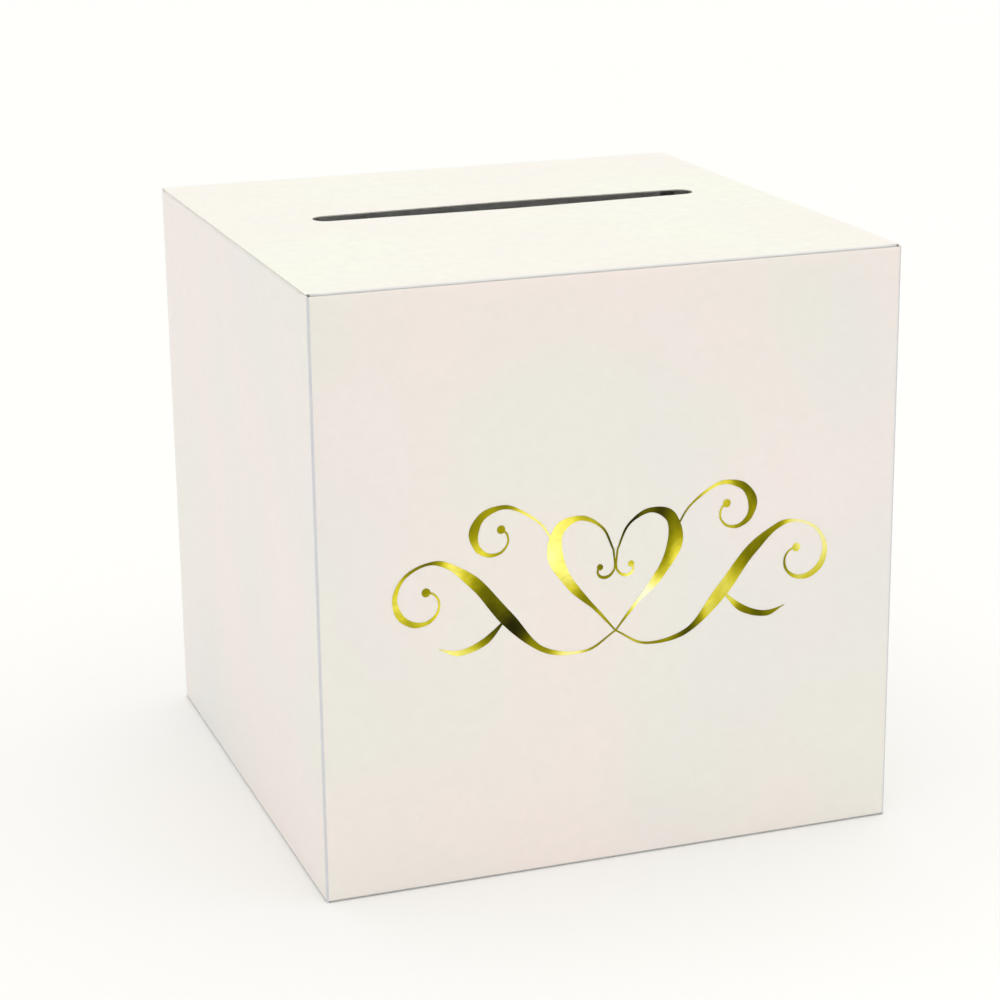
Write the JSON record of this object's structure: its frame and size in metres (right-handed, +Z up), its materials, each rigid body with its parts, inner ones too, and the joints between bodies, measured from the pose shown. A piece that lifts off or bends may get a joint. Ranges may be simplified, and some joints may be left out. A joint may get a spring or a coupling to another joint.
{
  "type": "wedding card box",
  "caption": "Cube-shaped folding carton in white board with a card slot in the hinged lid and a gold foil flourish on the front.",
  "frame": {"origin": "middle of the footprint on the table", "axes": "+Z up, the front panel with the ornament faces -Y, +X to the right of someone looking at the front"},
  "size_m": [0.254, 0.2541, 0.254],
  "materials": {
    "white_paperboard": "white pearl-coated heavy paperboard, satin, raw cut edges",
    "gold_hot_foil": "hot-stamped yellow gold foil, bright and mirror-like",
    "seam_adhesive": "dried white carton glue"
  },
  "bodies": {
    "carton": {"front_panel": "white_paperboard", "back_panel": "white_paperboard", "left_panel": "white_paperboard", "right_panel": "white_paperboard", "front_left_crease": "white_paperboard", "front_right_crease": "white_paperboard", "back_left_crease": "white_paperboard", "seam_crease": "white_paperboard", "glue_flap": "white_paperboard", "seam_glue": "seam_adhesive", "gold_foil_ornament": "gold_hot_foil", "bottom_left_flap": "white_paperboard", "bottom_right_flap": "white_paperboard", "bottom_main_flap": "white_paperboard", "bottom_lock_flap": "white_paperboard", "bottom_front_crease": "white_paperboard", "bottom_back_crease": "white_paperboard", "bottom_left_crease": "white_paperboard", "bottom_right_crease": "white_paperboard", "lid_crease": "white_paperboard", "left_dust_crease": "white_paperboard", "right_dust_crease": "white_paperboard"},
    "lid": {"lid_panel": "white_paperboard", "tuck_crease": "white_paperboard"},
    "tuck": {"tuck_flap": "white_paperboard"},
    "left_dust": {"left_dust_flap": "white_paperboard"},
    "right_dust": {"right_dust_flap": "white_paperboard"}
  },
  "joints": [
    {"name": "lid_hinge", "type": "hinge", "parent": "carton", "child": "lid", "pos_m": [0, 0.127, 0.254], "axis": [-1, 0, 0], "range_deg": [0, 250], "deforming": ["lid_crease"]},
    {"name": "tuck_hinge", "type": "hinge", "parent": "lid", "child": "tuck", "pos_m": [0, -0.1246, 0.2531], "axis": [1, 0, 0], "range_deg": [0, 50], "deforming": ["tuck_crease"]},
    {"name": "left_dust_hinge", "type": "hinge", "parent": "carton", "child": "left_dust", "pos_m": [-0.127, 0, 0.2534], "axis": [0, -1, 0], "range_deg": [0, 90], "deforming": ["left_dust_crease"]},
    {"name": "right_dust_hinge", "type": "hinge", "parent": "carton", "child": "right_dust", "pos_m": [0.127, 0, 0.2534], "axis": [0, 1, 0], "range_deg": [0, 90], "deforming": ["right_dust_crease"]}
  ],
  "couplings": [
    {"joint": "left_dust_hinge", "follows": "lid_hinge", "ratio": 0.36},
    {"joint": "right_dust_hinge", "follows": "lid_hinge", "ratio": 0.36}
  ]
}
